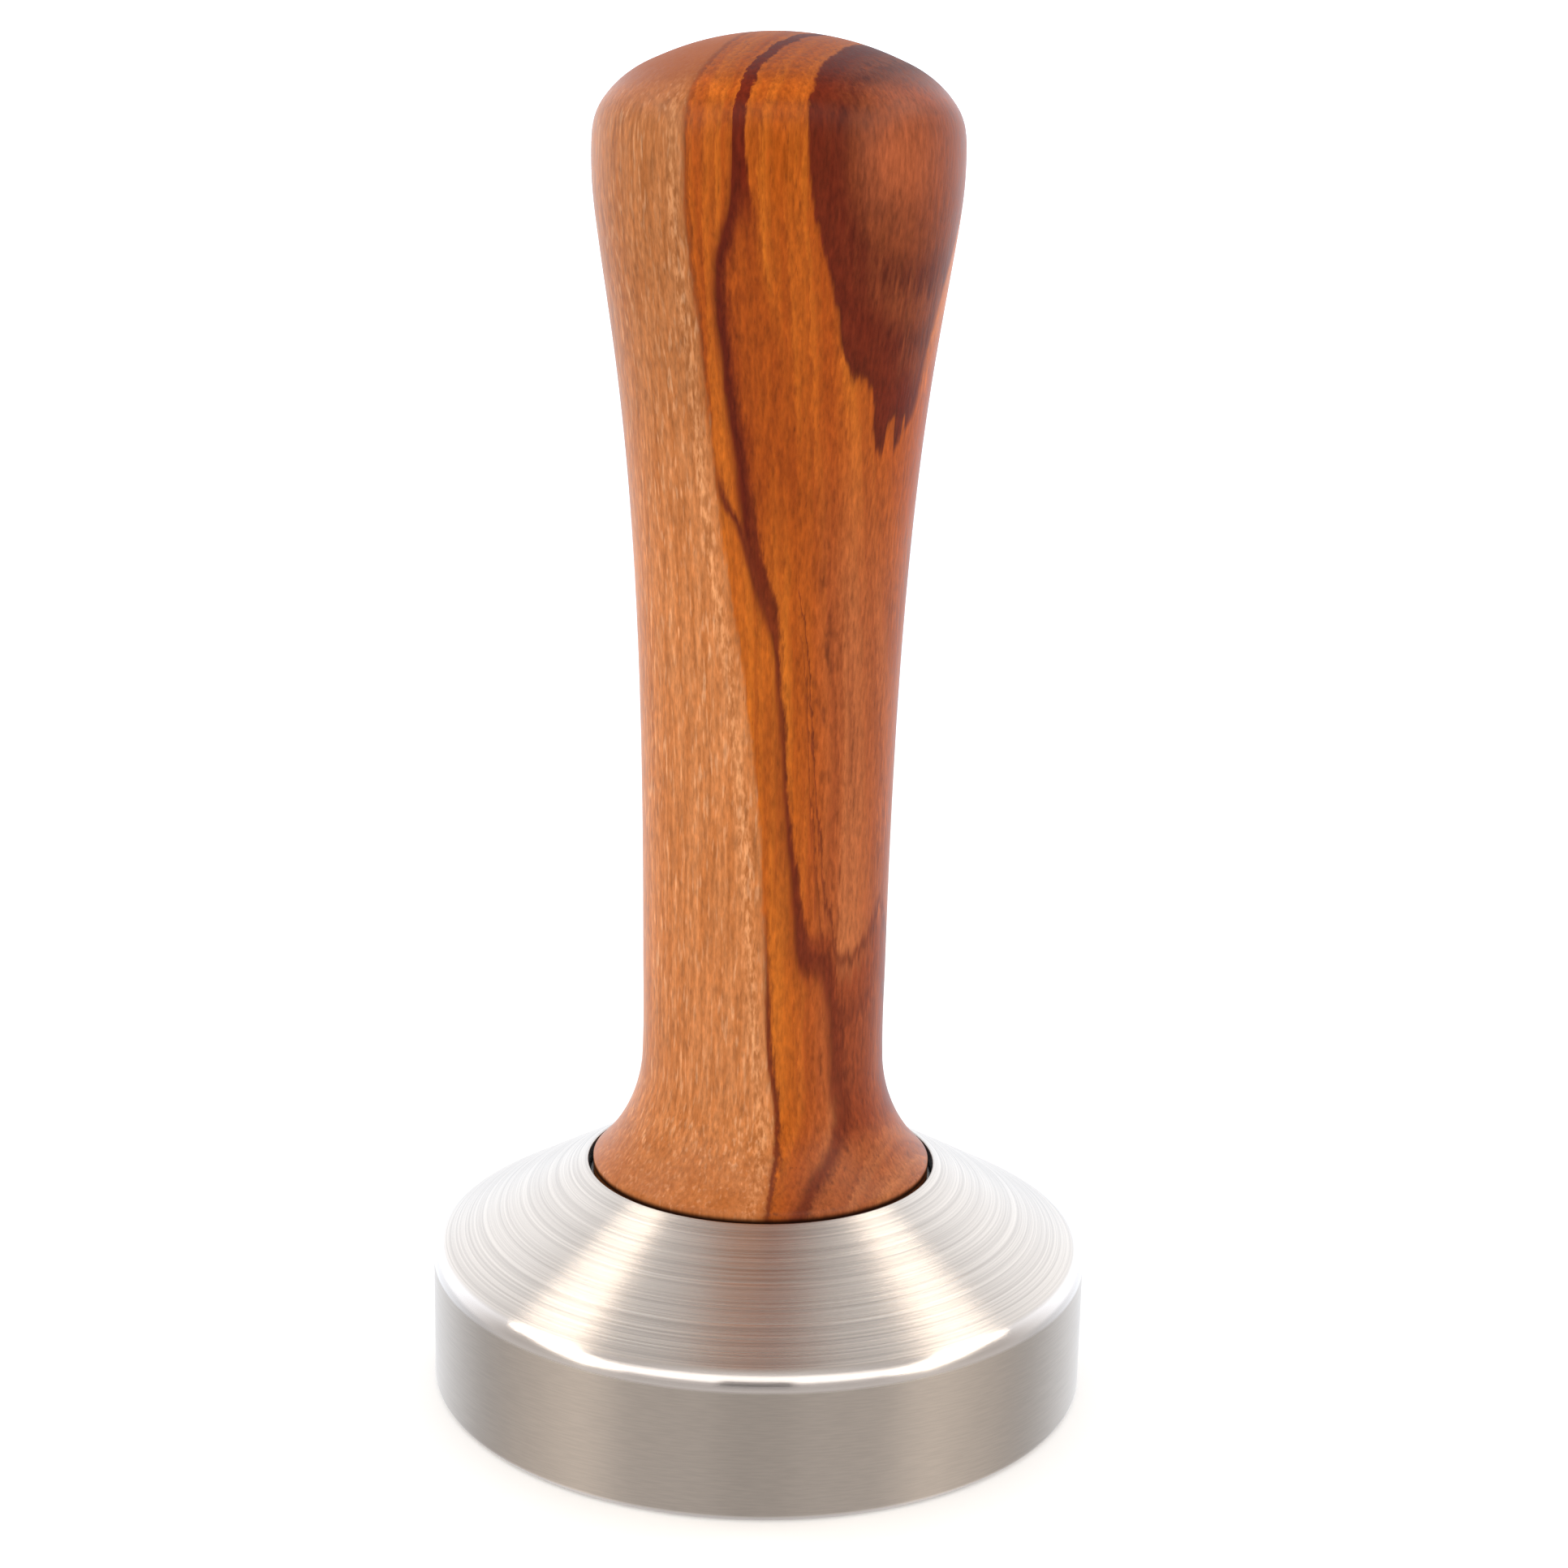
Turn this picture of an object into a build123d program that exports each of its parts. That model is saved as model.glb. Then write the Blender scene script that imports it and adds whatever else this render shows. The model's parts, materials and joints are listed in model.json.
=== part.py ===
from build123d import *
import math
import os

# Espresso tamper: a turned steel base with an olive-wood handle that screws on to it.
# Millimetres, +Z up. The origin is the centre of the flat tamping face, and Z is the axis.

# Driving dimensions of the base
base_radius = 29.0  # for a 58 mm filter basket
base_bottom_break = 0.4  # chamfer round the tamping face
corner_height = 12.15  # where the straight side and the cone would meet if the rim were sharp
rim_radius = 2.0  # rounding of that corner
cone_angle = 29.0  # degrees above the level
seat_radius = 15.35  # recess that takes the handle's foot
seat_floor = 18.0
seat_edge_break = 0.12

# Driving dimensions of the handle
foot_radius = 14.9
foot_gap = 0.1  # the rubber ring holds the foot this far off the seat
flare_radius = 13.8  # hollow curve from the foot up to the waist
waist_radius = 10.6
waist_height = 30.0
swell_radius = 15.3  # widest place of the head
swell_height = 106.0
total_height = 116.0
dome_radius = 24.0  # round end, out to dome_edge_radius
dome_edge_radius = 9.6

# Fastening: an M8 x 20 stud in the base and a brass insert in the wood
stud_radius = 4.0
stud_length = 20.0
stud_stand_out = 11.0  # above the floor of the seat
stud_break = 0.7
key_across_flats = 4.0  # hex socket in the stud's upper end
key_depth = 5.0
thread_clearance = 0.06  # radial, between the stud and the insert
insert_radius = 6.0
insert_length = 14.0
insert_inset = 0.5  # from the underside of the foot
insert_break = 0.6
insert_run_out = 1.5  # length of the wood's bore above the insert
slot_width = 1.6  # screwdriver slot across the insert's lower end
slot_depth = 1.6
drill_point = 59.0  # degrees, half of the drill's point angle

# Rubber ring under the foot
ring_middle_radius = 11.1
ring_wire_radius = 0.89
ring_play = 0.03  # above, below and beside the ring

# Places that follow from those
cone_rise = (base_radius - seat_radius) * math.tan(math.radians(cone_angle))
seat_edge_height = corner_height + cone_rise
stud_bottom = seat_floor + stud_stand_out - stud_length
stud_top = stud_bottom + stud_length
foot_height = seat_floor + foot_gap
insert_bottom = foot_height + insert_inset
insert_top = insert_bottom + insert_length
wood_bore_top = insert_top + insert_run_out
ring_middle_height = seat_floor + ring_play + ring_wire_radius
groove_top = ring_middle_height + ring_wire_radius + ring_play
groove_width = 2 * (ring_wire_radius + 2 * ring_play)
flare_centre_radius = waist_radius + flare_radius
flare_reach = math.sqrt(flare_radius**2 - (flare_centre_radius - foot_radius) ** 2)
foot_top = waist_height - flare_reach
dome_edge_height = total_height - dome_radius + math.sqrt(dome_radius**2 - dome_edge_radius**2)


def drill_tip(radius):
    """Height of the cone that a drill of this radius leaves below its hole."""
    return radius / math.tan(math.radians(drill_point))


def ring_edge(part, height, radius):
    """The round edge of this radius at this height."""
    edges = part.edges().filter_by(GeomType.CIRCLE)
    return min(edges, key=lambda edge: abs(edge.radius - radius) + abs(edge.arc_center.Z - height))


# Base: one turning with a straight side, a cone, a round seat and a blind tapped hole
with BuildPart() as base:
    with BuildSketch(Plane.XZ):
        with BuildLine():
            Polyline(
                (0, 0),
                (base_radius, 0),
                (base_radius, corner_height),
                (seat_radius, seat_edge_height),
                (seat_radius, seat_floor),
                (stud_radius, seat_floor),
                (stud_radius, stud_bottom),
                (0, stud_bottom - drill_tip(stud_radius)),
                close=True,
            )
        make_face()
    revolve(axis=Axis.Z)
    fillet(ring_edge(base, corner_height, base_radius), rim_radius)
    chamfer(ring_edge(base, 0, base_radius), base_bottom_break)
    chamfer(ring_edge(base, seat_edge_height, seat_radius), seat_edge_break)
    chamfer(ring_edge(base, seat_floor, stud_radius), stud_break)

# Stud: M8 set screw, locked in the base, with a hex socket in its upper end
with BuildPart() as stud:
    with BuildSketch(Plane.XY.offset(stud_bottom)):
        Circle(stud_radius)
    extrude(amount=stud_length)
    stud_ends = stud.edges().filter_by(GeomType.CIRCLE)
    chamfer(stud_ends, stud_break)
    with BuildSketch(Plane.XY.offset(stud_top)):
        RegularPolygon(key_across_flats / 2, 6, major_radius=False)
    extrude(amount=-key_depth, mode=Mode.SUBTRACT)

# Handle: one turning of olive wood, bored for the insert and grooved for the rubber ring
with BuildPart() as handle:
    with BuildSketch(Plane.XZ):
        with BuildLine():
            foot_side = Line((foot_radius, foot_height), (foot_radius, foot_top))
            flare = RadiusArc(foot_side @ 1, (waist_radius, waist_height), flare_radius)
            grip = Spline(
                flare @ 1,
                (10.75, 50),
                (11.45, 70),
                (13.3, 90),
                (14.78, 100),
                (swell_radius, swell_height),
                tangents=[(0, 1), (0, 1)],
            )
            dome = RadiusArc((dome_edge_radius, dome_edge_height), (0, total_height), -dome_radius)
            Spline(
                grip @ 1,
                (14.65, 110),
                (13.0, 112),
                dome @ 0,
                tangents=[(0, 1), dome % 0],
            )
            Polyline(dome @ 1, (0, foot_height), foot_side @ 0)
        make_face()
    revolve(axis=Axis.Z)
    with BuildSketch(Plane.XZ):
        with BuildLine():
            Polyline(
                (0, foot_height),
                (insert_radius, foot_height),
                (insert_radius, wood_bore_top),
                (0, wood_bore_top + drill_tip(insert_radius)),
                close=True,
            )
        make_face()
    revolve(axis=Axis.Z, mode=Mode.SUBTRACT)
    with BuildSketch(Plane.XY.offset(foot_height)):
        Circle(ring_middle_radius + groove_width / 2)
        Circle(ring_middle_radius - groove_width / 2, mode=Mode.SUBTRACT)
    extrude(amount=groove_top - foot_height, mode=Mode.SUBTRACT)

# Threaded insert: brass bush screwed into the wood, with a screwdriver slot in its lower end
with BuildPart() as threaded_insert:
    with BuildSketch(Plane.XY.offset(insert_bottom)):
        Circle(insert_radius)
        Circle(stud_radius + thread_clearance, mode=Mode.SUBTRACT)
    extrude(amount=insert_length)
    insert_mouths = threaded_insert.edges().filter_by(GeomType.CIRCLE).sort_by(SortBy.RADIUS)[:2]
    chamfer(insert_mouths, insert_break)
    with BuildSketch(Plane.XY.offset(insert_bottom)):
        Rectangle(2 * insert_radius, slot_width)
    extrude(amount=slot_depth, mode=Mode.SUBTRACT)

# Rubber ring: sits in the foot's groove and bears on the floor of the seat
with BuildPart() as o_ring:
    with BuildSketch(Plane.XZ):
        with Locations((ring_middle_radius, ring_middle_height)):
            Circle(ring_wire_radius)
    revolve(axis=Axis.Z)

sub_parts = {
    "base": base,
    "stud": stud,
    "handle": handle,
    "threaded_insert": threaded_insert,
    "o_ring": o_ring,
}
os.makedirs("parts", exist_ok=True)
for name, piece in sub_parts.items():
    piece.part.label = name
    export_step(piece.part, f"parts/{name}.step")
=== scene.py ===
"""Looks of the espresso tamper: turned steel base, olive-wood handle, and the M8 fastening between them."""

import json
import math

import bmesh
import bpy
import numpy as np
from mathutils import Matrix, Vector


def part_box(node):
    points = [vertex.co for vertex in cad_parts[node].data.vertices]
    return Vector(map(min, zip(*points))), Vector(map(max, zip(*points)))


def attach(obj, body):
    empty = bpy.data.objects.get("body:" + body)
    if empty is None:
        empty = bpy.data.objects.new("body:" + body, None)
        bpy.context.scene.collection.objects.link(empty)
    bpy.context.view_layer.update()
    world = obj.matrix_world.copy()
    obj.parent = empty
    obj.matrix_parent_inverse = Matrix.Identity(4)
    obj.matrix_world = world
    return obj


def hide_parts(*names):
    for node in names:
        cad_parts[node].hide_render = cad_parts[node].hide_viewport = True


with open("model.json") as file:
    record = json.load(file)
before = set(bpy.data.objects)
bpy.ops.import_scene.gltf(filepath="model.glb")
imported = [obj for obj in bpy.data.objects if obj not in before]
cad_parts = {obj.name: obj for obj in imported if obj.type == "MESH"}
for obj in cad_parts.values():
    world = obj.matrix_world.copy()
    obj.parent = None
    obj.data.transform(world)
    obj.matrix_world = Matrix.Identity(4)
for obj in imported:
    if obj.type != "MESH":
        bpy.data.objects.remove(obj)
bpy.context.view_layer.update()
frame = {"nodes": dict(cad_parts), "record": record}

MM = 0.001
BODY_OF = {node: body for body, nodes in frame["record"]["behaviour"]["bodies"].items() for node in nodes}


# ---------------------------------------------------------------- sizes, in millimetres

def box_mm(node):
    """Lowest and highest corner of a CAD node."""
    low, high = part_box(node)
    return low / MM, high / MM


BASE_LOW, BASE_HIGH = box_mm("base")
FOOT_LOW, HANDLE_HIGH = box_mm("handle")
STUD_LOW, STUD_HIGH = box_mm("stud")
INSERT_LOW, INSERT_HIGH = box_mm("threaded_insert")
RING_LOW, RING_HIGH = box_mm("o_ring")

BASE_RADIUS = BASE_HIGH.x
SEAT_RADIUS = 15.35
SEAT_FLOOR = 18.0
CORNER_HEIGHT = 12.15
CONE_ANGLE = math.radians(29)
SEAT_EDGE = CORNER_HEIGHT + (BASE_RADIUS - SEAT_RADIUS) * math.tan(CONE_ANGLE)
RIM_RADIUS = 2.0
SEAT_EDGE_ROUND = 0.12
RIM_LOW = CORNER_HEIGHT - RIM_RADIUS * math.tan((math.pi / 2 - CONE_ANGLE) / 2)
RIM_HIGH = RIM_LOW + RIM_RADIUS * math.cos(CONE_ANGLE)
BOTTOM_BREAK = 0.4
THREAD_MAJOR = STUD_HIGH.x
THREAD_PITCH = 1.25
THREAD_BREAK = 0.7
THREAD_EASE = 0.02
STUD_THREAD_DEPTH = 0.75
STUD_BREAK = 0.8
BRASS_CREST = 3.36
BRASS_ROOT = 4.05
INSERT_BREAK = 0.6
WOOD_PITCH = 2.5
SLOT_WIDTH = 1.6
SLOT_DEPTH = 1.6
KEY_FLAT = 2.0
KEY_DEPTH = 5.0
INSERT_RADIUS = INSERT_HIGH.x
WOOD_BORE_TOP = INSERT_HIGH.z + 1.5
DRILL_POINT = math.radians(59)
RING_WIRE = (RING_HIGH.z - RING_LOW.z) / 2
RING_MIDDLE = RING_HIGH.x - RING_WIRE
GROOVE_PLAY = 0.06
GROOVE_TOP = RING_HIGH.z + 0.03
FOOT_BAND = 1.86
RING_SPACING = 0.9
FLASH_HEIGHT = 0.03

BASE_SEGMENTS = 200
HANDLE_SEGMENTS = 160
RING_SEGMENTS = 160
THREAD_SEGMENTS = 96
THREAD_STEPS = 20

FLOOR_RADIUS = 0.28
SHADE_SIZE = 0.045


# ---------------------------------------------------------------- turned meshes

class Turning:
    """Collects grids of points round the Z axis, in millimetres, and joins them into one closed mesh."""

    def __init__(self, segments):
        self.angles = np.arange(segments) * math.tau / segments
        self.points = []
        self.faces = []

    def add(self, radii, heights, shift=0):
        """Rows by angles. The last angle joins the first one shift rows further on, as a thread does."""
        rows, columns = np.broadcast(radii, heights, self.angles).shape
        radii = np.broadcast_to(radii, (rows, columns))
        heights = np.broadcast_to(heights, (rows, columns))
        first = len(self.points)
        grid = np.stack([radii * np.cos(self.angles), radii * np.sin(self.angles), heights], axis=-1)
        self.points.extend(map(tuple, grid.reshape(-1, 3)))
        for row in range(rows - 1):
            for column in range(columns):
                wraps = column == columns - 1
                beside = (column + 1) % columns
                step = shift if wraps else 0
                if row + 1 + step >= rows:
                    continue
                self.faces.append((
                    first + row * columns + column,
                    first + (row + step) * columns + beside,
                    first + (row + 1 + step) * columns + beside,
                    first + (row + 1) * columns + column,
                ))

    def add_outline(self, outline, relief=None):
        """Turns an outline of (radius, height) points, pushed outwards by relief(outline, angles)."""
        outline = np.asarray(outline, float)
        radii = np.repeat(outline[:, :1], len(self.angles), axis=1)
        heights = np.repeat(outline[:, 1:], len(self.angles), axis=1)
        if relief is not None:
            along = np.gradient(outline, axis=0)
            along /= np.linalg.norm(along, axis=1, keepdims=True)
            push = relief(outline, self.angles)
            radii = radii + push * along[:, 1:]
            heights = heights - push * along[:, :1]
        self.add(radii, heights)

    def piece(self, node, material):
        """Makes the mesh as a piece that stands for the CAD node and rides on its body."""
        mesh = bpy.data.meshes.new(node + "_turned")
        mesh.from_pydata([tuple(c * MM for c in point) for point in self.points], [], self.faces)
        shape = bmesh.new()
        shape.from_mesh(mesh)
        bmesh.ops.remove_doubles(shape, verts=shape.verts, dist=1e-7)
        bmesh.ops.dissolve_degenerate(shape, edges=shape.edges, dist=1e-8)
        bmesh.ops.recalc_face_normals(shape, faces=shape.faces)
        shape.to_mesh(mesh)
        shape.free()
        mesh.shade_smooth()
        piece = bpy.data.objects.new(node + "_turned", mesh)
        bpy.context.scene.collection.objects.link(piece)
        mesh.materials.append(material)
        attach(piece, BODY_OF[node])
        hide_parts(node)
        return piece


def outline_through(corners, arc_steps=8):
    """Outline through (radius, height, rounding, spacing) corners. Each corner is rounded by an arc, and the
    straight stretch after it is divided to the spacing, or left whole where that is 0."""
    places = [np.array(corner[:2], float) for corner in corners]
    points = []
    for index, (_, _, rounding, _) in enumerate(corners):
        place = places[index]
        if rounding == 0 or index in (0, len(corners) - 1):
            points.append([place])
            continue
        back = places[index - 1] - place
        ahead = places[index + 1] - place
        back /= np.linalg.norm(back)
        ahead /= np.linalg.norm(ahead)
        half = math.acos(np.clip(back @ ahead, -1, 1)) / 2
        bisector = (back + ahead) / np.linalg.norm(back + ahead)
        centre = place + bisector * rounding / math.sin(half)
        start = place + back * rounding / math.tan(half) - centre
        end = place + ahead * rounding / math.tan(half) - centre
        sweep = math.pi - 2 * half
        fractions = np.linspace(0, 1, arc_steps + 1)
        points.append([
            centre + (math.sin((1 - f) * sweep) * start + math.sin(f * sweep) * end) / math.sin(sweep)
            for f in fractions
        ])
    outline = []
    for index, arc in enumerate(points):
        outline.extend(arc)
        spacing = corners[index][3]
        if spacing and index + 1 < len(points):
            start, end = arc[-1], points[index + 1][0]
            count = max(1, round(np.linalg.norm(end - start) / spacing))
            outline.extend(start + (end - start) * k / count for k in range(1, count))
    return np.array(outline)


def grooves(distance, angles, rng, pitch, width, depth):
    """Lathe marks of uneven strength and spacing along a distance, each fading in and out round the turn."""
    marks = np.zeros((len(distance), len(angles)))
    place = pitch
    while place < distance.max():
        strength = depth * rng.uniform(0.15, 1.0)
        fade = 0.65 + 0.35 * np.cos(rng.integers(1, 4) * angles + rng.uniform(0, math.tau))
        marks -= np.outer(np.exp(-(((distance - place) / width) ** 2)), strength * fade)
        place += pitch * rng.uniform(0.4, 1.7)
    return marks


def base_relief(outline, angles):
    """Lathe marks on the cone, fainter ones on the side, and facing marks on the tamping face."""
    rng = np.random.default_rng(58)
    relief = np.zeros((len(outline), len(angles)))
    radius, height = outline[:, 0], outline[:, 1]
    cone_top = SEAT_EDGE - 0.2
    cone_bottom = RIM_HIGH + 0.5
    on_cone = (height > cone_bottom) & (height < cone_top) & (radius > SEAT_RADIUS + 0.2)
    down_the_cone = (cone_top - height[on_cone]) / math.sin(CONE_ANGLE)
    relief[on_cone] = grooves(down_the_cone, angles, rng, 0.4, 0.09, 0.018)
    on_side = (radius > BASE_RADIUS - 0.01) & (height > BOTTOM_BREAK + 0.1) & (height < RIM_LOW)
    relief[on_side] = grooves(height[on_side] - BOTTOM_BREAK, angles, rng, 0.5, 0.16, 0.003)
    on_face = (height < 0.001) & (radius > 0.3) & (radius < BASE_RADIUS - BOTTOM_BREAK - 0.3)
    relief[on_face] = grooves(radius[on_face], angles, rng, 0.7, 0.25, 0.004)
    return np.minimum(relief, 0)


def make_base(material):
    drill = THREAD_MAJOR / math.tan(DRILL_POINT)
    outline = outline_through([
        (0, 0, 0, 0.4),
        (BASE_RADIUS - BOTTOM_BREAK, 0, 0.06, 0),
        (BASE_RADIUS, BOTTOM_BREAK, 0.06, 0.2),
        (BASE_RADIUS, CORNER_HEIGHT, RIM_RADIUS, 0.06),
        (SEAT_RADIUS, SEAT_EDGE, SEAT_EDGE_ROUND, 0.4),
        (SEAT_RADIUS, SEAT_FLOOR, 0.25, 0.8),
        (THREAD_MAJOR + THREAD_BREAK, SEAT_FLOOR, 0.05, 0),
        (THREAD_MAJOR, SEAT_FLOOR - THREAD_BREAK, 0, 0),
        (THREAD_MAJOR, STUD_LOW.z, 0, 0),
        (0, STUD_LOW.z - drill, 0, 0),
    ])
    turning = Turning(BASE_SEGMENTS)
    turning.add_outline(outline, base_relief)
    return turning.piece("base", material)


def outer_rings(node, keep):
    """The (radius, height) rings of a turned CAD node that keep(radius, height) picks, from the foot up."""
    points = np.array([vertex.co for vertex in frame["nodes"][node].data.vertices]) / MM
    rings = sorted((z, math.hypot(x, y)) for x, y, z in points if keep(math.hypot(x, y), z))
    outline = []
    for z, radius in rings:
        if not outline or z > outline[-1][1] + RING_SPACING:
            outline.append((radius, z))
    return outline


def smooth_through(points, spacing):
    """Catmull-Rom curve through points, divided to about the spacing."""
    points = np.array(points)
    chords = np.linalg.norm(np.diff(points, axis=0), axis=1)
    lengths = np.concatenate([[0], np.cumsum(chords)])
    slopes = np.gradient(points, lengths, axis=0)
    curve = []
    for index, chord in enumerate(chords):
        count = max(1, round(chord / spacing))
        for f in np.arange(count) / count:
            curve.append(
                (2 * f**3 - 3 * f**2 + 1) * points[index]
                + (f**3 - 2 * f**2 + f) * chord * slopes[index]
                + (3 * f**2 - 2 * f**3) * points[index + 1]
                + (f**3 - f**2) * chord * slopes[index + 1]
            )
    curve.append(points[-1])
    return np.array(curve)


def make_handle(material):
    foot_low = FOOT_LOW.z
    above_foot = foot_low + FOOT_BAND
    skin = outer_rings("handle", lambda radius, height: height > above_foot and (radius > 9 or height > 50))
    skin = [ring for ring in skin if ring[0] > 0.05]
    skin.append((0.0, HANDLE_HIGH.z))
    foot_radius = skin[0][0]
    groove_out = RING_MIDDLE + RING_WIRE + GROOVE_PLAY
    groove_in = RING_MIDDLE - RING_WIRE - GROOVE_PLAY
    foot = outline_through([
        (0, WOOD_BORE_TOP + INSERT_RADIUS / math.tan(DRILL_POINT), 0, 0),
        (INSERT_RADIUS, WOOD_BORE_TOP, 0, 0),
        (INSERT_RADIUS, foot_low, 0.1, 0.5),
        (groove_in, foot_low, 0.1, 0),
        (groove_in, GROOVE_TOP, 0.2, 0.4),
        (groove_out, GROOVE_TOP, 0.2, 0),
        (groove_out, foot_low, 0.1, 0.5),
        (foot_radius, foot_low, 0.3, 0.3),
        (foot_radius, skin[0][1], 0, 0),
    ], arc_steps=4)
    turning = Turning(HANDLE_SEGMENTS)
    turning.add_outline(np.concatenate([foot[:-1], smooth_through(skin, 0.5)]))
    return turning.piece("handle", material)


def add_thread(turning, low, high, pitch, radius_of):
    """Adds a right-hand thread. radius_of takes the phase of the pitch and the distance from the nearer
    end."""
    rows = np.arange(math.ceil(((high - low) / pitch + 2) * THREAD_STEPS))[:, None]
    rising = low + pitch * (rows / THREAD_STEPS - 1 + turning.angles / math.tau)
    heights = np.clip(rising, low, high)
    phase = (rows / THREAD_STEPS + low / pitch) % 1
    turning.add(radius_of(phase, np.minimum(heights - low, high - heights)), heights, shift=THREAD_STEPS)


def thread_flank(phase, major, pitch):
    """Radius of a sharp 60 degree thread at a phase of its pitch, with the ridge at 0.5."""
    sharp_height = pitch * math.cos(math.radians(30))
    return major + sharp_height / 8 - sharp_height * np.abs(phase - 0.5) * 2


def make_stud(material):
    major = THREAD_MAJOR - THREAD_EASE
    end_radius = major - STUD_BREAK

    def radius_of(phase, from_end):
        thread = np.clip(thread_flank(phase, THREAD_MAJOR, THREAD_PITCH), major - STUD_THREAD_DEPTH, major)
        return np.minimum(thread, end_radius + from_end)

    turning = Turning(THREAD_SEGMENTS)
    add_thread(turning, STUD_LOW.z, STUD_HIGH.z, THREAD_PITCH, radius_of)
    from_flat = (turning.angles + math.pi / 6) % (math.pi / 3) - math.pi / 6
    hexagon = KEY_FLAT / np.cos(from_flat)
    socket = [(1.06, 0), (1, 0.15), (1, KEY_DEPTH), (0, KEY_DEPTH + 0.8)]
    radii = [np.full_like(hexagon, end_radius)] + [share * hexagon for share, _ in socket]
    depths = np.array([0] + [depth for _, depth in socket])
    turning.add(np.array(radii), STUD_HIGH.z - depths[:, None])
    turning.add(np.array([[end_radius], [0]]), np.full((2, 1), STUD_LOW.z))
    return turning.piece("stud", material)


def make_insert(material):
    def inside(phase, from_end):
        flank = thread_flank(phase, THREAD_MAJOR, THREAD_PITCH) + THREAD_EASE
        thread = np.clip(flank, BRASS_CREST, BRASS_ROOT)
        return np.maximum(thread, THREAD_MAJOR + INSERT_BREAK - from_end)

    def outside(phase, from_end):
        root = INSERT_RADIUS - INSERT_BREAK
        thread = np.clip(thread_flank(phase, INSERT_RADIUS, WOOD_PITCH), root, INSERT_RADIUS)
        return np.minimum(thread, root + from_end)

    turning = Turning(THREAD_SEGMENTS)
    add_thread(turning, INSERT_LOW.z, INSERT_HIGH.z, THREAD_PITCH, inside)
    add_thread(turning, INSERT_LOW.z, INSERT_HIGH.z, WOOD_PITCH, outside)
    ends = np.array([[THREAD_MAJOR + INSERT_BREAK], [INSERT_RADIUS - INSERT_BREAK]])
    turning.add(ends, np.full((2, 1), INSERT_LOW.z))
    turning.add(ends, np.full((2, 1), INSERT_HIGH.z))
    piece = turning.piece("threaded_insert", material)
    cut_slot(piece)
    return piece


def cut_slot(piece):
    """Cuts the screwdriver slot across the lower end of the insert."""
    mesh = bpy.data.meshes.new("slot_cutter")
    shape = bmesh.new()
    bmesh.ops.create_cube(shape, size=1)
    size = Matrix.Diagonal((3 * INSERT_RADIUS * MM, SLOT_WIDTH * MM, 2 * SLOT_DEPTH * MM))
    for corner in shape.verts:
        corner.co = size @ corner.co + Vector((0, 0, INSERT_LOW.z * MM))
    shape.to_mesh(mesh)
    shape.free()
    cutter = bpy.data.objects.new("slot_cutter", mesh)
    bpy.context.scene.collection.objects.link(cutter)
    cut = piece.modifiers.new("slot", "BOOLEAN")
    cut.operation = "DIFFERENCE"
    cut.solver = "EXACT"
    cut.object = cutter
    bpy.context.view_layer.update()
    evaluated = piece.evaluated_get(bpy.context.evaluated_depsgraph_get())
    result = bpy.data.meshes.new_from_object(evaluated)
    piece.modifiers.clear()
    piece.data = result
    bpy.data.objects.remove(cutter)


def make_ring(material):
    """Round section with the thin line that the two halves of its mould leave at half height."""
    turning = Turning(RING_SEGMENTS)
    around = np.linspace(0, math.tau, 49)
    flash = FLASH_HEIGHT * np.exp(-((np.sin(around) / 0.06) ** 2))
    wire = RING_WIRE - FLASH_HEIGHT + flash
    middle = (RING_LOW.z + RING_HIGH.z) / 2
    section = [RING_MIDDLE + wire * np.cos(around), middle + wire * np.sin(around)]
    turning.add_outline(np.stack(section, axis=1))
    return turning.piece("o_ring", material)


# ---------------------------------------------------------------- materials

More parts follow.
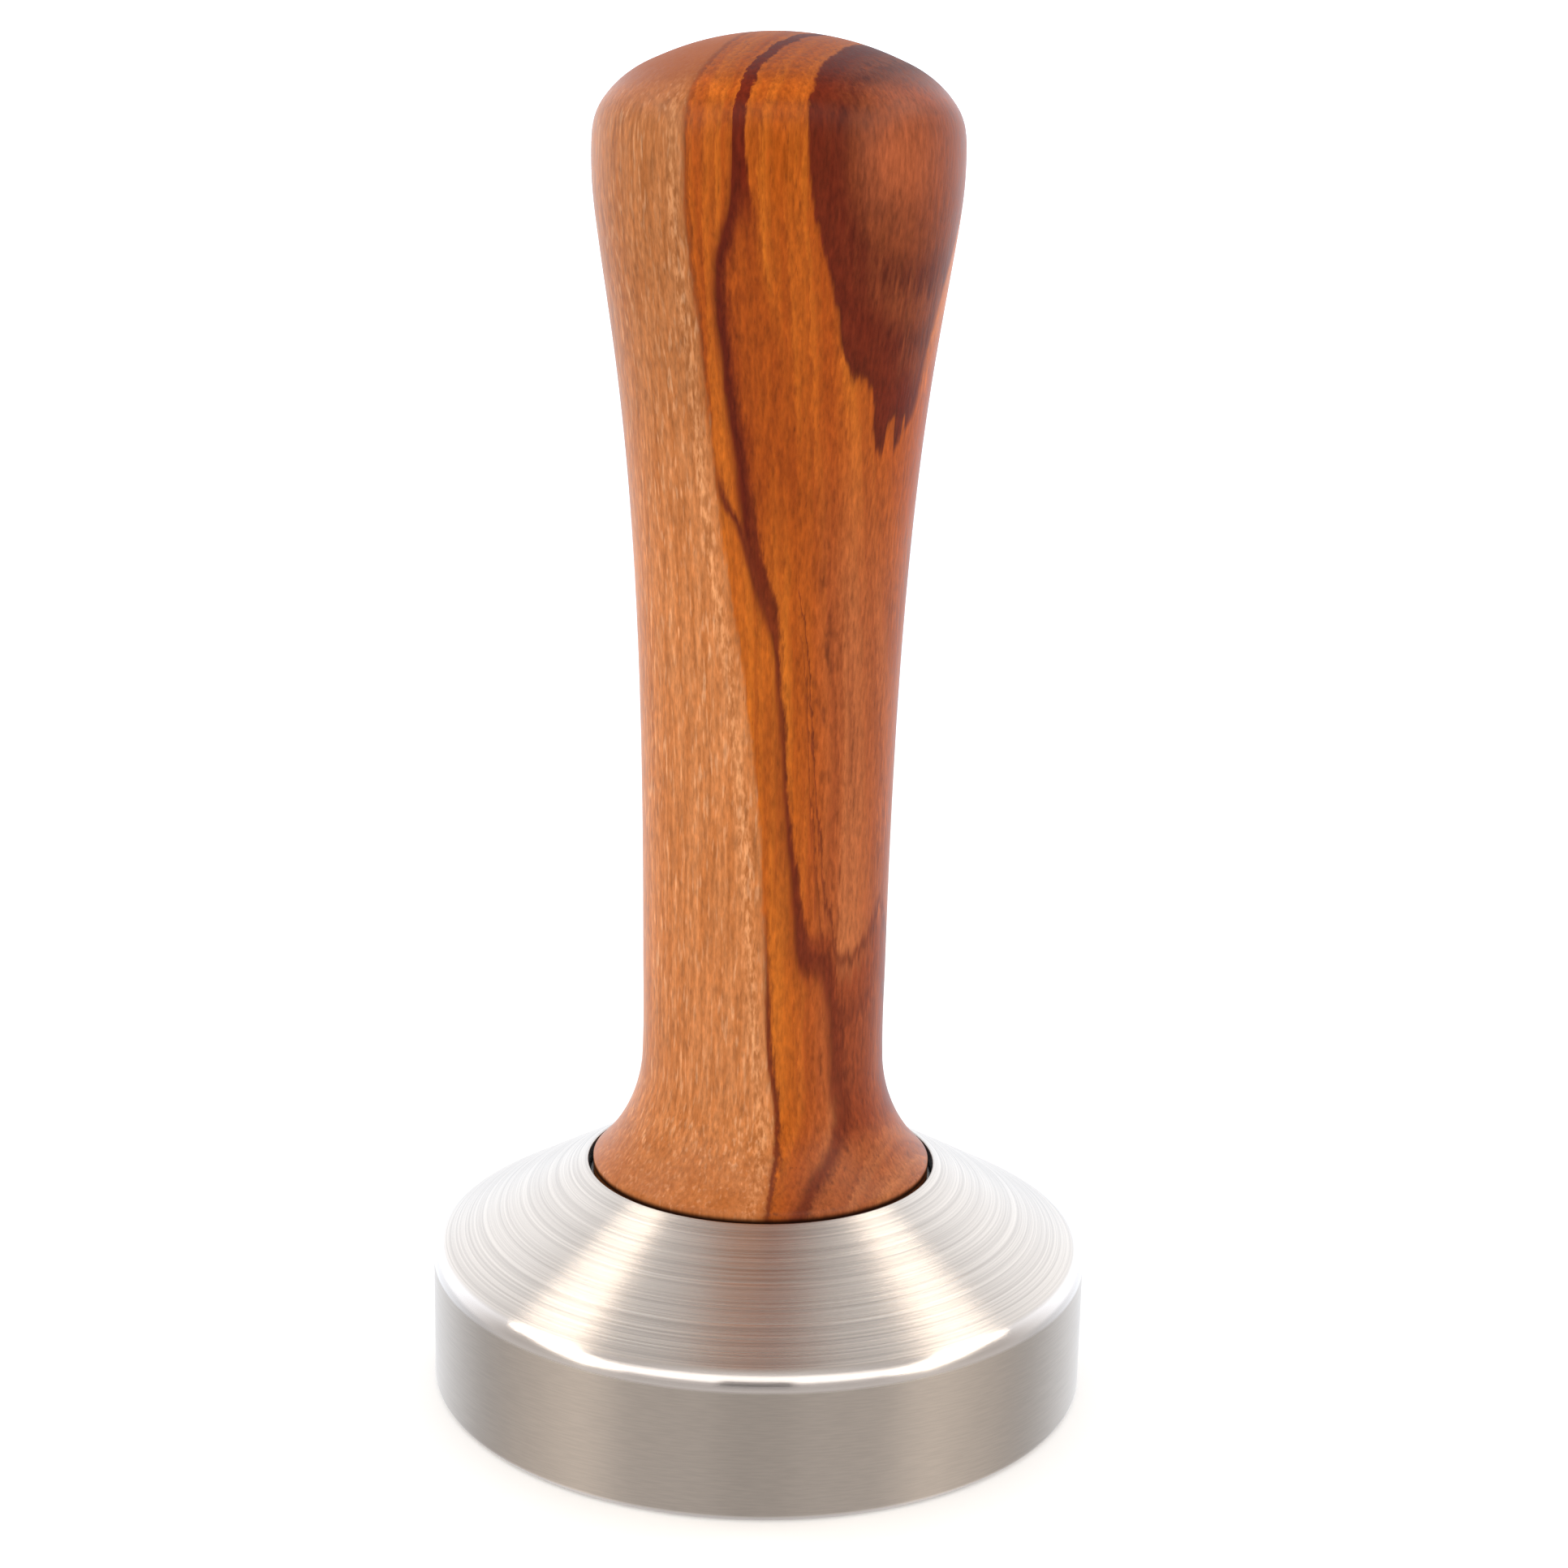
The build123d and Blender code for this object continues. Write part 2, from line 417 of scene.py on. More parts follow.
class Graph:
    """Short calls for building the nodes of a material or world. Lengths inside a material are in
    millimetres."""

    def __init__(self, owner, shader="Principled BSDF", coordinates="Object", scale=1 / MM):
        owner.use_nodes = True
        self.owner = owner
        self.tree = owner.node_tree
        self.shader = self.tree.nodes[shader]
        source = self.tree.nodes.new("ShaderNodeTexCoord").outputs[coordinates]
        self.place = self.vector("SCALE", source, scale=scale)
        self.x, self.y, self.z = self.node("SeparateXYZ", self.place).outputs

    def put(self, value, socket):
        if isinstance(value, bpy.types.NodeSocket):
            self.tree.links.new(value, socket)
        else:
            socket.default_value = value

    def node(self, kind, *inputs, **settings):
        node = self.tree.nodes.new("ShaderNode" + kind)
        for name, value in settings.items():
            setattr(node, name, value)
        for value, socket in zip(inputs, node.inputs):
            self.put(value, socket)
        return node

    def math(self, operation, *values):
        return self.node("Math", *values, operation=operation).outputs[0]

    def vector(self, operation, *values, scale=None):
        node = self.node("VectorMath", *values, operation=operation)
        if scale is not None:
            self.put(scale, node.inputs["Scale"])
        return node.outputs[0]

    def ramp(self, value, start, end, low=0.0, high=1.0):
        """Smooth step from low to high as value goes from start to end."""
        return self.node("MapRange", value, start, end, low, high, interpolation_type="SMOOTHSTEP").outputs[0]

    def noise(self, vector, detail=2.0, roughness=0.5):
        """Noise from 0 to 1 with features about one unit of the vector across."""
        node = self.tree.nodes.new("ShaderNodeTexNoise")
        self.put(vector, node.inputs["Vector"])
        node.inputs["Scale"].default_value = 1.0
        node.inputs["Detail"].default_value = detail
        node.inputs["Roughness"].default_value = roughness
        return node.outputs[0]

    def grain(self, across, along, shift=0.0, detail=2.0, roughness=0.5):
        """Noise from -0.5 to 0.5 drawn out along Z: features across and along, in millimetres."""
        size = (1 / across, 1 / across, 1 / along)
        stretched = self.vector("MULTIPLY_ADD", self.place, size, (shift, shift, shift))
        return self.math("SUBTRACT", self.noise(stretched, detail, roughness), 0.5)

    def blend(self, factor, first, second, how="MIX"):
        node = self.node("Mix", data_type="RGBA", blend_type=how)
        for value, index in ((factor, 0), (first, 6), (second, 7)):
            self.put(value, node.inputs[index])
        return node.outputs[2]

    def between(self, factor, first, second):
        node = self.node("Mix", data_type="FLOAT")
        for value, index in ((factor, 0), (first, 2), (second, 3)):
            self.put(value, node.inputs[index])
        return node.outputs[0]

    def both(self, *factors):
        result = factors[0]
        for factor in factors[1:]:
            result = self.math("MULTIPLY", result, factor)
        return result

    def line(self, value, middle, width):
        """1 where value is at middle, fading to 0 at width either side."""
        away = self.math("ABSOLUTE", self.math("SUBTRACT", value, middle))
        return self.ramp(away, 0.0, width, 1.0, 0.0)

    def bump(self, height, distance, strength=1.0):
        """Normal from a height of 0 to 1 that stands for a distance in millimetres."""
        node = self.tree.nodes.new("ShaderNodeBump")
        node.inputs["Strength"].default_value = strength
        node.inputs["Distance"].default_value = distance * MM
        self.put(height, node.inputs["Height"])
        self.put(node.outputs[0], self.shader.inputs["Normal"])

    def set(self, **sockets):
        for name, value in sockets.items():
            self.put(value, self.shader.inputs[name.replace("_", " ")])


def colour(red, green, blue):
    return (red, green, blue, 1.0)


def turned_steel():
    """Stainless steel off the lathe: fine circular marks, a polished rim, and satin reflections drawn out.
    A lighter tone on the rim and the bottom edge is a painted highlight. Short dashes round the side,
    and painted shade on the wall of the seat."""
    steel = Graph(bpy.data.materials.new("turned_steel"))
    flat = steel.vector("MULTIPLY", steel.place, (1, 1, 0))
    radius = steel.node("VectorMath", flat, operation="LENGTH").outputs["Value"]
    around = steel.vector("NORMALIZE", flat)
    drift = steel.vector("SCALE", around, scale=0.35)
    rings = steel.node("CombineXYZ", radius, steel.z, 0.0).outputs[0]
    fine = steel.noise(steel.vector("MULTIPLY_ADD", rings, (14, 14, 1), drift), 3.0, 0.6)
    coarse = steel.noise(steel.vector("MULTIPLY_ADD", rings, (4.2, 4.2, 1), drift), 3.0, 0.6)
    short = steel.vector("SCALE", around, scale=15)
    dashes = steel.noise(steel.vector("MULTIPLY_ADD", rings, (7, 7, 1), short), 2.0)
    clouds = steel.noise(steel.vector("SCALE", steel.place, scale=0.12), 3.0, 0.6)

    above_side = steel.ramp(steel.z, RIM_LOW, RIM_LOW + 0.3)
    below_cone = steel.ramp(steel.z, RIM_HIGH - 0.3, RIM_HIGH, 1.0, 0.0)
    rim = steel.both(above_side, below_cone)
    cone = steel.ramp(steel.z, RIM_HIGH - 0.3, RIM_HIGH)
    satin = steel.math("MULTIPLY_ADD", fine, 0.16, steel.between(cone, 0.23, 0.14))
    satin = steel.math("MULTIPLY_ADD", clouds, 0.06, satin)
    strength = steel.math("MULTIPLY_ADD", cone, 0.7, 0.3)
    streaks = steel.between(strength, 0.5, steel.ramp(steel.between(cone, dashes, coarse), 0.3, 0.7))
    tone = steel.blend(streaks, colour(0.46, 0.395, 0.345), colour(0.62, 0.535, 0.465))
    # The rim and the bottom edge get a lighter tone: a painted highlight, besides the rim's real polish in
    # the roughness.
    edges = steel.math("MAXIMUM", rim, steel.ramp(steel.z, 0.6, 0.4))
    tone = steel.blend(edges, tone, colour(0.76, 0.68, 0.63))
    # Painted shade on the wall of the seat: the steel inside it is darkened so that the gap round the foot
    # stays dark.
    seat_painted_shade = steel.both(
        steel.ramp(steel.z, SEAT_EDGE - 0.1, SEAT_EDGE - 0.35),
        steel.ramp(radius, SEAT_RADIUS + 0.1, SEAT_RADIUS),
        steel.ramp(radius, SEAT_RADIUS - 0.6, SEAT_RADIUS - 0.1),
    )
    tone = steel.blend(seat_painted_shade, tone, colour(0.03, 0.027, 0.025))
    marks = steel.both(steel.between(0.35, fine, steel.between(cone, dashes, coarse)), strength)
    steel.set(
        Base_Color=tone,
        Metallic=1.0,
        Roughness=steel.between(rim, satin, steel.math("MULTIPLY_ADD", fine, 0.08, 0.12)),
        Anisotropic=1.0,
        Anisotropic_Rotation=0.25,
        Tangent=steel.node("Tangent", direction_type="RADIAL", axis="Z").outputs[0],
    )
    steel.bump(marks, 0.02)
    return steel.owner


# Lines of the wood's figure, as (height, offset across the layers) in millimetres
LAYER_TILT = 0.45
SAP_EDGE = [(18, 7.6), (22, 6.8), (27, 6.2), (33, 5.3), (41, 4.8), (55, 3.9), (63, 2.9), (74, 1.4), (82, 0.5),
            (90, -0.1), (101, -1.0), (116, -1.0)]
FLAME_LEFT = [(60, 5.0), (73, 3.8), (76, 3.1), (82, 2.6), (90, 1.7), (95, 1.5), (100, 2.3), (104, 3.2),
              (112, 3.0), (116, 4.8)]
FLAME_WIDTH = [(60, 4.5), (77, 5.2), (85, 5.3), (92, 4.9), (97, 3.8), (101, 2.4), (104, 1.5), (108, 1.1),
               (116, 1.2)]
VEIN = [(38, 8.6), (43, 7.7), (46, 7.3), (53, 6.4), (61, 5.9), (67, 5.6), (70, 5.3), (75, 4.3), (82, 3.4)]
VEIN_WIDTH = [(38, 0.7), (43, 0.6), (50, 0.35), (62, 0.2), (66, 0.3), (71, 0.5), (75, 0.4), (82, 0.3)]
CORNER = [(69, 4.8), (73, 3.8), (77, 2.4), (80, 0.9), (86, 0.3)]
HEART_LEFT = [(80, 14.5), (84, 13.3), (86, 12.9), (89, 11.9), (93, 10.9), (99, 9.8), (103, 9.3), (111, 8.5),
              (116, 8.0)]
HEART_BACK = [(80, -5.0), (84, -3.0), (86, -1.2), (93, 0.6), (105, 6.0), (116, 12.0)]
FORK_LEFT = [(18, 9.5), (22, 10.4), (25, 10.9), (30, 10.3), (36, 9.9), (40, 9.3), (42, 7.9), (44, 7.4)]
FORK_RIGHT = [(18, 10.4), (22, 11.2), (24, 12.8), (28, 12.0), (34, 11.6), (44, 12.5)]
FORK_TIPS = (40.3, 35.2)
FORK_MIDDLE = 10.7
OVAL = (14.9, 106.0)


class OliveWood(Graph):
    """Oiled olive wood that runs through the solid. Its layers stand upright, slanted across X, and the lines
    of the figure are offsets across the layers that change with height."""

    def __init__(self, owner):
        super().__init__(owner)
        self.streak = self.grain(0.7, 14, 11.0, detail=3.0, roughness=0.65)
        self.fibre = self.grain(0.40, 4.5, 7.0, detail=3.0, roughness=0.6)
        self.mottle = self.grain(0.32, 1.1, 29.0, detail=2.0, roughness=0.6)
        slow = self.grain(14, 45)
        wobble = self.grain(2.5, 16, 3.0)
        behind = self.ramp(self.y, -4, 14)
        layer = self.math("MULTIPLY_ADD", self.y, -LAYER_TILT, self.x)
        layer = self.math("MULTIPLY_ADD", slow, self.math("MULTIPLY_ADD", behind, 9.0, 0.8), layer)
        layer = self.math("MULTIPLY_ADD", wobble, 0.9, layer)
        layer = self.math("MULTIPLY_ADD", self.fibre, 0.7, layer)
        self.layer = self.math("MULTIPLY_ADD", self.mottle, 0.35, layer)
        self.depth = self.math("MULTIPLY_ADD", self.x, LAYER_TILT, self.y)
        slow_depth = self.math("MULTIPLY", self.depth, 0.03)
        slow_height = self.math("MULTIPLY", self.z, 0.015)
        bands = self.node("CombineXYZ", self.layer, slow_depth, slow_height).outputs[0]
        self.broad = self.noise(self.vector("SCALE", bands, scale=0.55), 1.0)
        self.close = self.noise(self.vector("SCALE", bands, scale=2.2), 3.0, 0.6)

    def curve(self, places):
        """Offset of a figure line at this height."""
        low, high = places[0][0], places[-1][0]
        offsets = [offset for _, offset in places]
        base, span = min(offsets), max(offsets) - min(offsets)
        node = self.tree.nodes.new("ShaderNodeFloatCurve")
        points = node.mapping.curves[0].points
        for _ in places[2:]:
            points.new(0.5, 0.5)
        for point, (at, offset) in zip(points, places):
            point.location = ((at - low) / (high - low), (offset - base) / span)
        node.mapping.update()
        self.put(self.node("MapRange", self.z, low, high).outputs[0], node.inputs["Value"])
        return self.math("MULTIPLY_ADD", node.outputs[0], span, base)

    def past(self, places):
        """How far to the right of a figure line."""
        return self.math("SUBTRACT", self.layer, self.curve(places))

    def right_of(self, places, soft):
        """1 on the right of a figure line, 0 on its left, over a soft edge of that many millimetres."""
        return self.ramp(self.past(places), -soft, soft)

    def left_of(self, places, soft):
        return self.ramp(self.past(places), -soft, soft, 1.0, 0.0)

    def heartwood(self):
        """Orange in front, ruddier to the right below the head, banded by its growth layers."""
        broad = self.ramp(self.broad, 0.3, 0.7)
        close = self.ramp(self.close, 0.4, 0.7, 0.0, 0.5)
        golden = self.blend(broad, colour(0.36, 0.068, 0.004), colour(0.50, 0.125, 0.010))
        golden = self.blend(close, golden, colour(0.26, 0.040, 0.003))
        ruddy = self.blend(broad, colour(0.34, 0.080, 0.020), colour(0.49, 0.155, 0.050))
        ruddy = self.blend(close, ruddy, colour(0.21, 0.042, 0.012))
        reddish = self.both(self.ramp(self.layer, 7.0, 11.0), self.ramp(self.z, 90, 66))
        tone = self.blend(reddish, golden, ruddy)
        patches = self.ramp(self.grain(0.9, 2.4, 5.0), 0.02, 0.2)
        near = self.both(self.line(self.layer, 9.0, 2.2), self.line(self.z, 67, 17))
        return self.blend(self.both(patches, near, 0.8), tone, colour(0.13, 0.025, 0.006))

    def flame(self, tone):
        """Brown flame with a dark left edge, which narrows to a dark vein near the top."""
        across = self.math("DIVIDE", self.past(FLAME_LEFT), self.curve(FLAME_WIDTH))
        inside = self.both(self.ramp(across, -0.04, 0.06), self.ramp(across, 0.85, 1.15, 1.0, 0.0))
        inside = self.both(inside, self.ramp(self.z, 66, 84))
        depth = self.math("MULTIPLY_ADD", self.streak, 0.9, self.ramp(across, 0.0, 0.5, 0.95, 0.4))
        lower = self.blend(depth, colour(0.40, 0.080, 0.005), colour(0.19, 0.024, 0.002))
        brown = self.blend(self.ramp(self.z, 97, 105), lower, colour(0.13, 0.012, 0.002))
        tone = self.blend(inside, tone, brown)
        span = self.both(self.ramp(self.z, 68, 74), self.ramp(self.z, 112, 100))
        contour = self.both(self.line(self.past(FLAME_LEFT), 0.3, 1.15), span)
        return self.blend(contour, tone, colour(0.10, 0.010, 0.002))

    def vein(self, tone):
        """Dark line down the middle, with a brown shadow on its left, from the flame to the fork."""
        past = self.past(VEIN)
        span = self.both(self.ramp(self.z, 84, 76), self.ramp(self.z, 38, 41))
        shadow = self.both(self.ramp(past, -2.6, -0.2), self.ramp(past, 0.0, 0.3, 1.0, 0.0), span)
        streaked = self.math("MULTIPLY_ADD", self.streak, 0.8, 0.6)
        shadow = self.both(shadow, streaked, self.ramp(self.z, 68, 60))
        tone = self.blend(shadow, tone, colour(0.20, 0.034, 0.004))
        outside = self.math("SUBTRACT", self.math("ABSOLUTE", past), self.curve(VEIN_WIDTH))
        line = self.ramp(outside, -0.3, 0.25, 1.0, 0.0)
        return self.blend(self.both(line, span, 0.9), tone, colour(0.12, 0.014, 0.003))

    def fork(self, tone):
        """Brown fork low on the right, with nested dark tips above it and a dark streak to the foot."""
        from_middle = self.math("SUBTRACT", self.layer, FORK_MIDDLE)
        arch = self.both(from_middle, from_middle, -3.0)
        rise = self.math("MULTIPLY_ADD", self.streak, 3.0, self.math("ADD", self.z, arch))
        high_tip, low_tip = FORK_TIPS
        within = self.both(self.right_of(FORK_LEFT, 0.2), self.left_of(FORK_RIGHT, 0.7))
        inside = self.both(within, self.ramp(self.z, 44, 42))
        below = self.both(self.ramp(rise, high_tip + 1, high_tip - 3), self.ramp(self.z, 23, 26))
        tone = self.blend(self.both(inside, below, 0.9), tone, colour(0.21, 0.034, 0.007))
        low_line = self.both(self.line(rise, low_tip, 1.6), 0.7)
        tips = self.math("MAXIMUM", self.line(rise, high_tip, 1.4), low_line)
        tone = self.blend(self.both(tips, within, 0.75), tone, colour(0.13, 0.020, 0.005))
        thickness = self.math("ADD", self.line(self.z, 41, 3), self.ramp(self.z, 27, 21))
        reach = self.math("MULTIPLY_ADD", thickness, 0.7, 0.75)
        nearness = self.math("DIVIDE", self.math("ABSOLUTE", self.past(FORK_LEFT)), reach)
        edge = self.both(self.ramp(nearness, 0.1, 1.0, 1.0, 0.0), self.ramp(self.z, 45, 43))
        return self.blend(self.both(edge, 0.9), tone, colour(0.14, 0.020, 0.005))

    def sapwood(self, tone):
        """Pale sapwood on the left, flecked along the grain, with dark lines along parts of its edge."""
        streaks = self.ramp(self.streak, -0.22, 0.22)
        pale = self.blend(streaks, colour(0.43, 0.135, 0.034), colour(0.56, 0.205, 0.068))
        patches = self.ramp(self.grain(1.5, 9, 37.0), -0.15, 0.2, 0.25, 0.75)
        bright = self.both(self.ramp(self.grain(0.32, 2.2, 17.0, detail=1.0), 0.04, 0.22), patches)
        pale = self.blend(bright, pale, colour(0.72, 0.34, 0.16))
        seam = self.both(self.line(self.past(SAP_EDGE), -1.3, 0.9), self.ramp(self.mottle, -0.1, 0.15), 0.5)
        pale = self.blend(seam, pale, colour(0.72, 0.34, 0.15))
        tone = self.blend(self.left_of(SAP_EDGE, 0.25), tone, pale)
        line = self.line(self.past(SAP_EDGE), 0.1, 0.55)
        low_edge = self.both(line, self.ramp(self.z, 48, 36), 0.95)
        top_edge = self.both(line, self.ramp(self.z, 84, 92), 0.5)
        corner = self.both(
            self.line(self.past(CORNER), 0.2, 0.7), self.ramp(self.z, 68, 72), self.ramp(self.z, 84, 79)
        )
        for mark in (low_edge, top_edge, corner):
            tone = self.blend(mark, tone, colour(0.14, 0.020, 0.004))
        return tone

    def plume(self, tone):
        """Dark plume on the right of the head: deep red edge, brown body, a lighter oval and a ragged tip."""
        ragged = self.both(self.grain(1.3, 16, 41.0), self.ramp(self.z, 97, 87), 5.0)
        edge = self.math("ADD", ragged, self.past(HEART_LEFT))
        in_front = self.ramp(self.math("SUBTRACT", self.curve(HEART_BACK), self.depth), -0.6, 0.6)
        in_front = self.both(in_front, self.ramp(self.z, 80, 84))
        inside = self.both(self.ramp(edge, -0.15, 0.2), in_front)
        side, height = OVAL
        right = self.math("DIVIDE", self.math("SUBTRACT", self.layer, side), 3.0)
        up = self.math("DIVIDE", self.math("SUBTRACT", self.z, height), 6.5)
        away = self.math("SQRT", self.math("ADD", self.both(right, right), self.both(up, up)))
        away = self.math("MULTIPLY_ADD", self.streak, 0.8, away)
        rings = self.math("SINE", self.math("MULTIPLY", away, 8.0))
        body = self.math("ADD", self.streak, self.both(rings, 0.11))
        shading = self.ramp(body, -0.3, 0.25)
        brown = self.blend(shading, colour(0.095, 0.014, 0.004), colour(0.205, 0.042, 0.011))
        brown = self.blend(self.ramp(away, 1.15, 0.2, 0.0, 0.85), brown, colour(0.34, 0.080, 0.026))
        brown = self.blend(self.ramp(edge, 4.0, 1.0, 0.0, 0.85), brown, colour(0.115, 0.011, 0.002))
        tone = self.blend(inside, tone, brown)
        outline = self.both(self.line(edge, 0.1, 0.5), in_front, self.ramp(self.z, 102, 92), 0.7)
        return self.blend(outline, tone, colour(0.09, 0.012, 0.003))

    def weather(self, tone):
        """Pores, fibres and mottle, darker end grain on the dome, painted shade on the foot and on the
        sapwood towards the head, a painted highlight on the shoulder, and a line of painted shade where the
        foot enters the seat."""
        pores = self.ramp(self.grain(0.16, 1.6, 23.0, detail=1.0), 0.18, 0.30)
        tone = self.blend(self.both(pores, 0.4), tone, colour(0.09, 0.015, 0.003))
        shade = self.math("MULTIPLY_ADD", self.mottle, 1.1, 1.0)
        shade = self.math("MULTIPLY_ADD", self.fibre, 0.6, shade)
        left = self.left_of(SAP_EDGE, 0.5)
        # The head's dome darkens as end grain; the second factor darkens the foot, a painted shade against
        # the light its flare catches from above.
        shade = self.both(shade, self.ramp(self.z, 109, 115, 1.0, 0.66), self.ramp(self.z, 27, 20, 1.0, 0.82))
        # The sapwood darkens towards the head: painted shade, as the head takes less light.
        shade = self.both(shade, self.math("SUBTRACT", 1.0, self.both(left, self.ramp(self.z, 72, 95), 0.22)))
        # A lighter band round the shoulder: a painted highlight.
        shade = self.both(shade, self.math("MULTIPLY_ADD", self.line(self.z, 110.8, 1.3), 0.25, 1.0))
        tone = self.blend(1.0, tone, self.node("CombineColor", shade, shade, shade).outputs[0], "MULTIPLY")
        dome = self.both(self.ramp(self.z, 108, 113), left, 0.85)
        tone = self.blend(dome, tone, colour(0.30, 0.068, 0.009))
        # Darker, more orange foot: painted shade against the light its flare catches from above.
        foot = self.both(self.ramp(self.z, 26, 20), left, 0.35)
        tone = self.blend(foot, tone, colour(0.40, 0.100, 0.015))
        # A dark line where the foot enters the seat: painted shade of the narrow gap between wood and steel.
        tone = self.blend(self.line(self.z, SEAT_EDGE - 0.25, 0.5), tone, colour(0.02, 0.006, 0.003))
        fibres = self.math("ADD", self.fibre, self.mottle)
        relief = self.math("SUBTRACT", fibres, self.math("MULTIPLY", pores, 0.5))
        self.bump(relief, 0.02, 0.6)
        return tone


def olive_wood():
    wood = OliveWood(bpy.data.materials.new("olive_wood"))
    tone = wood.heartwood()
    for feature in (wood.flame, wood.vein, wood.fork, wood.sapwood, wood.plume, wood.weather):
        tone = feature(tone)
    rough = wood.math("MULTIPLY_ADD", wood.mottle, 0.2, wood.ramp(wood.z, 111, 114, 0.36, 0.6))
    wood.set(Base_Color=tone, Roughness=rough, Specular_IOR_Level=0.12)
    return wood.owner


def machined_steel():
    steel = Graph(bpy.data.materials.new("machined_steel"))
    spots = steel.noise(steel.vector("SCALE", steel.place, scale=3.0), 3.0, 0.6)
    tone = steel.blend(spots, colour(0.42, 0.42, 0.43), colour(0.55, 0.55, 0.56))
    steel.set(Base_Color=tone, Metallic=1.0, Roughness=steel.math("MULTIPLY_ADD", spots, 0.2, 0.22))
    steel.bump(spots, 0.01, 0.4)
    return steel.owner


def machined_brass():
    brass = Graph(bpy.data.materials.new("machined_brass"))
    spots = brass.noise(brass.vector("SCALE", brass.place, scale=2.0), 3.0, 0.6)
    tone = brass.blend(spots, colour(0.70, 0.46, 0.17), colour(0.83, 0.60, 0.27))
    brass.set(Base_Color=tone, Metallic=1.0, Roughness=brass.math("MULTIPLY_ADD", spots, 0.2, 0.25))
    brass.bump(spots, 0.01, 0.4)
    return brass.owner


def black_rubber():
    rubber = Graph(bpy.data.materials.new("black_rubber"))
    bloom = rubber.noise(rubber.vector("SCALE", rubber.place, scale=1.5), 3.0, 0.6)
    tone = rubber.blend(bloom, colour(0.012, 0.012, 0.012), colour(0.035, 0.034, 0.033))
    rubber.set(Base_Color=tone, Roughness=rubber.math("MULTIPLY_ADD", bloom, 0.2, 0.5))
    rubber.bump(bloom, 0.02, 0.5)
    return rubber.owner


# ---------------------------------------------------------------- floor, light and camera

def make_floor():
    """Plain pale table top under the base."""
    mesh = bpy.data.meshes.new("floor")
    shape = bmesh.new()
    bmesh.ops.create_circle(shape, cap_ends=True, segments=128, radius=FLOOR_RADIUS)
    shape.to_mesh(mesh)
    shape.free()
    floor = bpy.data.objects.new("floor", mesh)
    bpy.context.scene.collection.objects.link(floor)
    paint = Graph(bpy.data.materials.new("floor_white"))
    cloud = paint.noise(paint.vector("SCALE", paint.place, scale=0.004), 2.0)
    tone = paint.blend(cloud, colour(0.93, 0.93, 0.93), colour(0.96, 0.96, 0.96))
    paint.set(Base_Color=tone, Roughness=0.9)
    mesh.materials.append(paint.owner)
    floor.visible_glossy = False


def make_shade():
    """Dark card behind the camera, for the small dark reflection that a camera leaves in the rim."""
    mesh = bpy.data.meshes.new("shade")
    shape = bmesh.new()
    bmesh.ops.create_grid(shape, size=SHADE_SIZE, matrix=Matrix.Rotation(math.pi / 2, 4, "X"))
    shape.to_mesh(mesh)
    shape.free()
    shade = bpy.data.objects.new("shade", mesh)
    bpy.context.scene.collection.objects.link(shade)
    shade.location = (0, -0.215, 0.10)
    paint = Graph(bpy.data.materials.new("shade_black"))
    cloth = paint.noise(paint.place, 2.0)
    tone = paint.blend(cloth, colour(0.01, 0.01, 0.01), colour(0.03, 0.03, 0.03))
    paint.set(Base_Color=tone, Roughness=0.9)
    mesh.materials.append(paint.owner)
    shade.visible_camera = False


def make_light(name, place, size, power, tint, roll=0):
    """A soft box at a place in metres that faces the middle of the handle, rolled by an angle in degrees."""
    light = bpy.data.lights.new(name, "AREA")
    light.shape = "RECTANGLE"
    light.size, light.size_y = size
    light.energy = power
    light.color = tint
    lamp = bpy.data.objects.new(name, light)
    bpy.context.scene.collection.objects.link(lamp)
    lamp.location = place
    aim = Vector((0, 0, 0.05)) - Vector(place)
    facing = aim.to_track_quat("-Z", "Y").to_matrix()
    lamp.rotation_euler = (facing @ Matrix.Rotation(math.radians(roll), 3, "Z")).to_euler()
    return lamp


